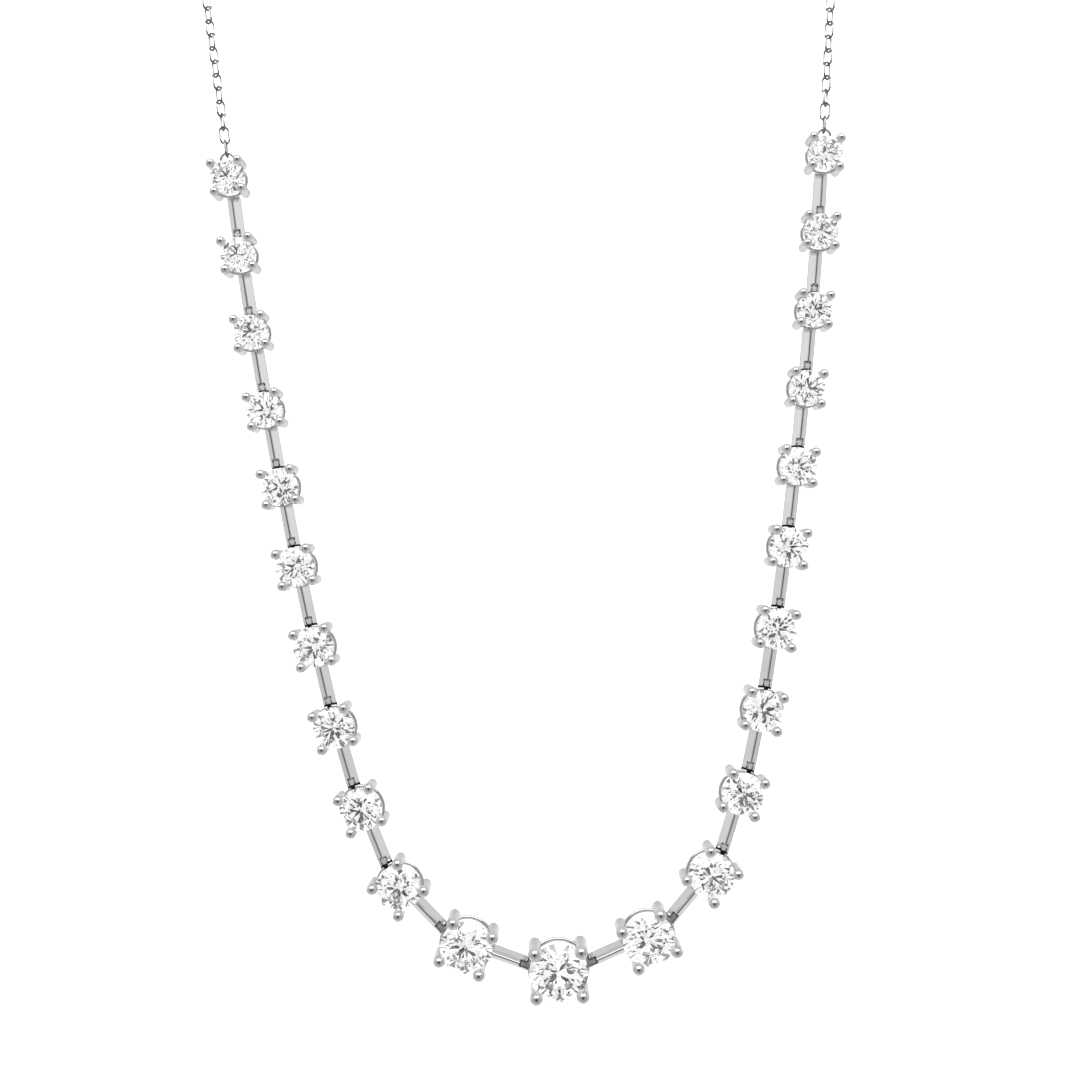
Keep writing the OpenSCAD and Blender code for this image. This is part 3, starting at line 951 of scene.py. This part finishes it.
class NECKLACE_OT_clasp(bpy.types.Operator):
    """Makes the clasp and the ring that it holds"""

    bl_idname = "necklace.clasp"
    bl_label = "Clasp"

    def execute(self, context):
        sizes, chain = context.scene.necklace_clasp, context.scene.necklace_chain
        arch = Arch(Row())
        metals = [polished_white_gold(context.scene.necklace_finishes)]
        half, wall = arch.hidden / 2, mm(sizes.wall)
        outline = soft_section(wall, mm(sizes.thickness), mm(sizes.edge))
        body = oval(outline, (mm(sizes.width) - wall) / 2, mm(sizes.length) - mm(sizes.width), CLASP_STEPS)
        moved(body, arch.at(half - mm(sizes.shift)) @ upright())
        eye = hoop(round_section(mm(chain.loop_wire) / 2, WIRE_SIDES), mm(chain.loop_r), LOOP_STEPS)
        moved(eye, arch.at(half - clasp_eye_at(chain, sizes)) @ upright())
        finished("rounded_clasp", joined(body, eye), "clasp", metals, -1)
        ring = hoop(round_section(mm(sizes.ring_wire) / 2, RING_SIDES), mm(sizes.ring_r), RING_STEPS)
        moved(ring, arch.at(half - mm(sizes.ring_at)))
        finished("round_clasp_ring", ring, "clasp_ring", metals)
        return {"FINISHED"}


# Stage


def camera_hole(paint, behind, inner, outer):
    """1 at the hole in the tent that the camera looks through, and 0 past its rim."""
    return paint.spread(-behind, low=math.cos(outer), high=math.cos(inner))


def tent_in_metal(paint, look, behind, above):
    """A bright band runs along the tent's sides just above the necklace, and the back brightens downward."""
    band = paint.spread(above, low=0.12, high=0.22) * (1 - paint.spread(above, low=0.42, high=0.54))
    band = band * (1 - paint.spread(behind, low=0.2, high=0.45))
    side = paint.between(paint.spread(above, low=-0.4, high=0.15), look.tent_side, look.tent_high)
    side = paint.between(band, side, look.tent_band)
    back = paint.between(paint.spread(above, low=-0.1, high=0.35), look.tent_low, look.tent_back)
    seen = paint.between(paint.spread(behind, low=0.55, high=0.85), side, back)
    seen = paint.between(paint.spread(-above, low=0.5, high=0.65), seen, look.tent_low)
    seen = paint.between(paint.spread(behind, low=-0.6, high=0.1), look.tent_front, seen)
    return paint.between(camera_hole(paint, behind, look.hole_inner, look.hole_outer), seen, look.hole_level)


def tent_in_stones(paint, look, way, behind):
    """A bright front and a dimmer back, with dark openings, which give the facets their flashes."""
    shade_from, opening_edge, hole_edge = 0.35, 0.01, math.radians(1)
    seen = paint.between(paint.spread(behind, low=-0.2, high=0.5), look.gem_front, look.gem_back)
    shifted = paint.node("ShaderNodeMapping", inputs={"Vector": way, "Location": look.seam_shift})
    seams = paint.noise(shifted, scale=look.seam_scale, detail=0.0)
    shade = paint.spread(seams, low=shade_from, high=look.seam_share)
    seen = seen * paint.between(shade, 1.0 + look.seam_shade, 1.0 - look.seam_shade)
    opening = paint.spread(seams, low=look.seam_share, high=look.seam_share + opening_edge)
    hole = camera_hole(paint, behind, look.gem_hole, look.gem_hole + hole_edge)
    return paint.between(opening | hole, seen, look.seam_level)


def studio_world(world, look):
    """A white tent with the camera's dark hole in front. Metal, clear stones and the floor each see it at
    their own brightness, and the lens sees it plain white."""
    white = (1.0, 1.0, 1.0)
    world.use_nodes = True
    paint = Paint(world.node_tree)
    way = paint.node("ShaderNodeTexCoord", output="Generated")
    behind, above = (paint.node("ShaderNodeSeparateXYZ", inputs={0: way}, output=axis) for axis in "YZ")
    seen = tent_in_metal(paint, look, behind, above)
    for ray, sight in (("Transmission", tent_in_stones(paint, look, way, behind)),
                       ("Diffuse", look.tent_on_floor), ("Camera", look.tent_shown)):
        seen = paint.between(paint.node("ShaderNodeLightPath", output=f"Is {ray} Ray"), seen, sight)
    light = paint.node("ShaderNodeBackground", inputs={0: rgba(white), 1: seen})
    paint.node("ShaderNodeOutputWorld", inputs={0: light})


def softbox(name, place, facing, size, radiance):
    """A soft light of a given brightness, out of the picture."""
    light = bpy.data.lights.new(name, "AREA")
    light.shape = "RECTANGLE"
    light.size, light.size_y = size
    light.energy = radiance * math.pi * size[0] * size[1]
    lamp = bpy.data.objects.new(name, light)
    lamp.visible_camera = lamp.visible_transmission = False
    lamp.location = place
    lamp.rotation_euler = Vector(facing).to_track_quat("-Z", "Y").to_euler()
    bpy.context.scene.collection.objects.link(lamp)


def camera_on(aim, look):
    """A camera in front of the necklace, level, and leaning as the photograph does."""
    view = bpy.data.cameras.new("camera")
    view.lens = view.sensor_width / 2 / math.tan(look.field / 2)
    view.clip_start, view.clip_end = 0.002, 20
    camera = bpy.data.objects.new("camera", view)
    camera.location = aim - Vector((0, look.distance, 0))
    camera.rotation_mode = "QUATERNION"
    right = Vector((math.cos(look.roll), 0, -math.sin(look.roll)))
    up = Vector((math.sin(look.roll), 0, math.cos(look.roll)))
    camera.rotation_quaternion = Matrix((right, up, (0, -1, 0))).transposed().to_quaternion()
    bpy.context.scene.collection.objects.link(camera)
    return camera


def swept_backdrop(look):
    """Floor and backdrop in one sheet, with a wide curve between them."""
    half_width, height, curve, curve_steps = 3.0, 2.4, 0.35, 16
    floor, wall = -look.floor_drop, look.wall_distance
    bm = bmesh.new()
    corners = ((-half_width, floor), (wall, floor), (wall, height))
    line = [bm.verts.new((-half_width, y, z)) for y, z in corners]
    edges = [bm.edges.new(pair) for pair in zip(line, line[1:])]
    drawn = bmesh.ops.extrude_edge_only(bm, edges=edges)["geom"]
    bmesh.ops.translate(bm, vec=(2 * half_width, 0, 0), verts=vertices(drawn))
    corner = [e for e in bm.edges if len(e.link_faces) == 2]
    bmesh.ops.bevel(bm, geom=corner, offset=curve, segments=curve_steps, profile=0.5, affect="EDGES",
                    material=-1)
    bmesh.ops.recalc_face_normals(bm, faces=bm.faces)
    mesh = bpy.data.meshes.new("backdrop")
    bm.to_mesh(mesh)
    bm.free()
    mesh.shade_smooth()
    mesh.materials.append(material_named("pale_board", pale_ground, colour=look.pale))
    backdrop = bpy.data.objects.new("backdrop", mesh)
    bpy.context.scene.collection.objects.link(backdrop)
    backdrop.visible_glossy = backdrop.visible_transmission = False


class NECKLACE_OT_stage(bpy.types.Operator):
    """Sets up the camera, the lights, the floor and the backdrop"""

    bl_idname = "necklace.stage"
    bl_label = "Stage"

    def execute(self, context):
        scene, look = context.scene, context.scene.necklace_stage
        aim = Vector(look.aim)
        over_camera, over_wall, wall_light = Vector((0, -0.30, 0.40)), Vector((0, 0.12, 0.45)), (1.2, 0.3)
        scene.camera = camera_on(aim, look)
        swept_backdrop(look)
        softbox("key_light", aim + over_camera, -over_camera, (look.key_width, look.key_depth), look.key)
        softbox("backdrop_light", aim + over_wall, (0, 1, 0), wall_light, look.backdrop)
        scene.world = scene.world or bpy.data.worlds.new("studio")
        studio_world(scene.world, look)
        scene.view_settings.view_transform = "Standard"
        # Light bounces that facets and close wires need
        scene.cycles.max_bounces = 24
        scene.cycles.glossy_bounces = 12
        scene.cycles.transmission_bounces = 16
        return {"FINISHED"}


class NECKLACE_PT_panel(bpy.types.Panel):
    bl_label = "Diamond necklace"
    bl_space_type = "VIEW_3D"
    bl_region_type = "UI"
    bl_category = "Necklace"

    def draw(self, context):
        for name, group in GROUPS.items():
            box = self.layout.box()
            box.label(text=group.__name__)
            for prop in group.__annotations__:
                box.prop(getattr(context.scene, name), prop)
        for operator in OPERATORS:
            self.layout.operator(operator.bl_idname)


OPERATORS = (
    NECKLACE_OT_settings,
    NECKLACE_OT_chains,
    NECKLACE_OT_clasp,
    NECKLACE_OT_stones,
    NECKLACE_OT_stage,
)
CLASSES = (*GROUPS.values(), *OPERATORS, NECKLACE_PT_panel)


def register():
    for cls in CLASSES:
        bpy.utils.register_class(cls)
    for name, group in GROUPS.items():
        setattr(bpy.types.Scene, name, PointerProperty(type=group))


def unregister():
    for name in GROUPS:
        delattr(bpy.types.Scene, name)
    for cls in reversed(CLASSES):
        bpy.utils.unregister_class(cls)


def main():
    register()
    bpy.ops.necklace.settings()
    bpy.ops.necklace.chains()
    bpy.ops.necklace.clasp()
    bpy.ops.necklace.stones()
    bpy.ops.necklace.stage()


if __name__ == "__main__":
    main()
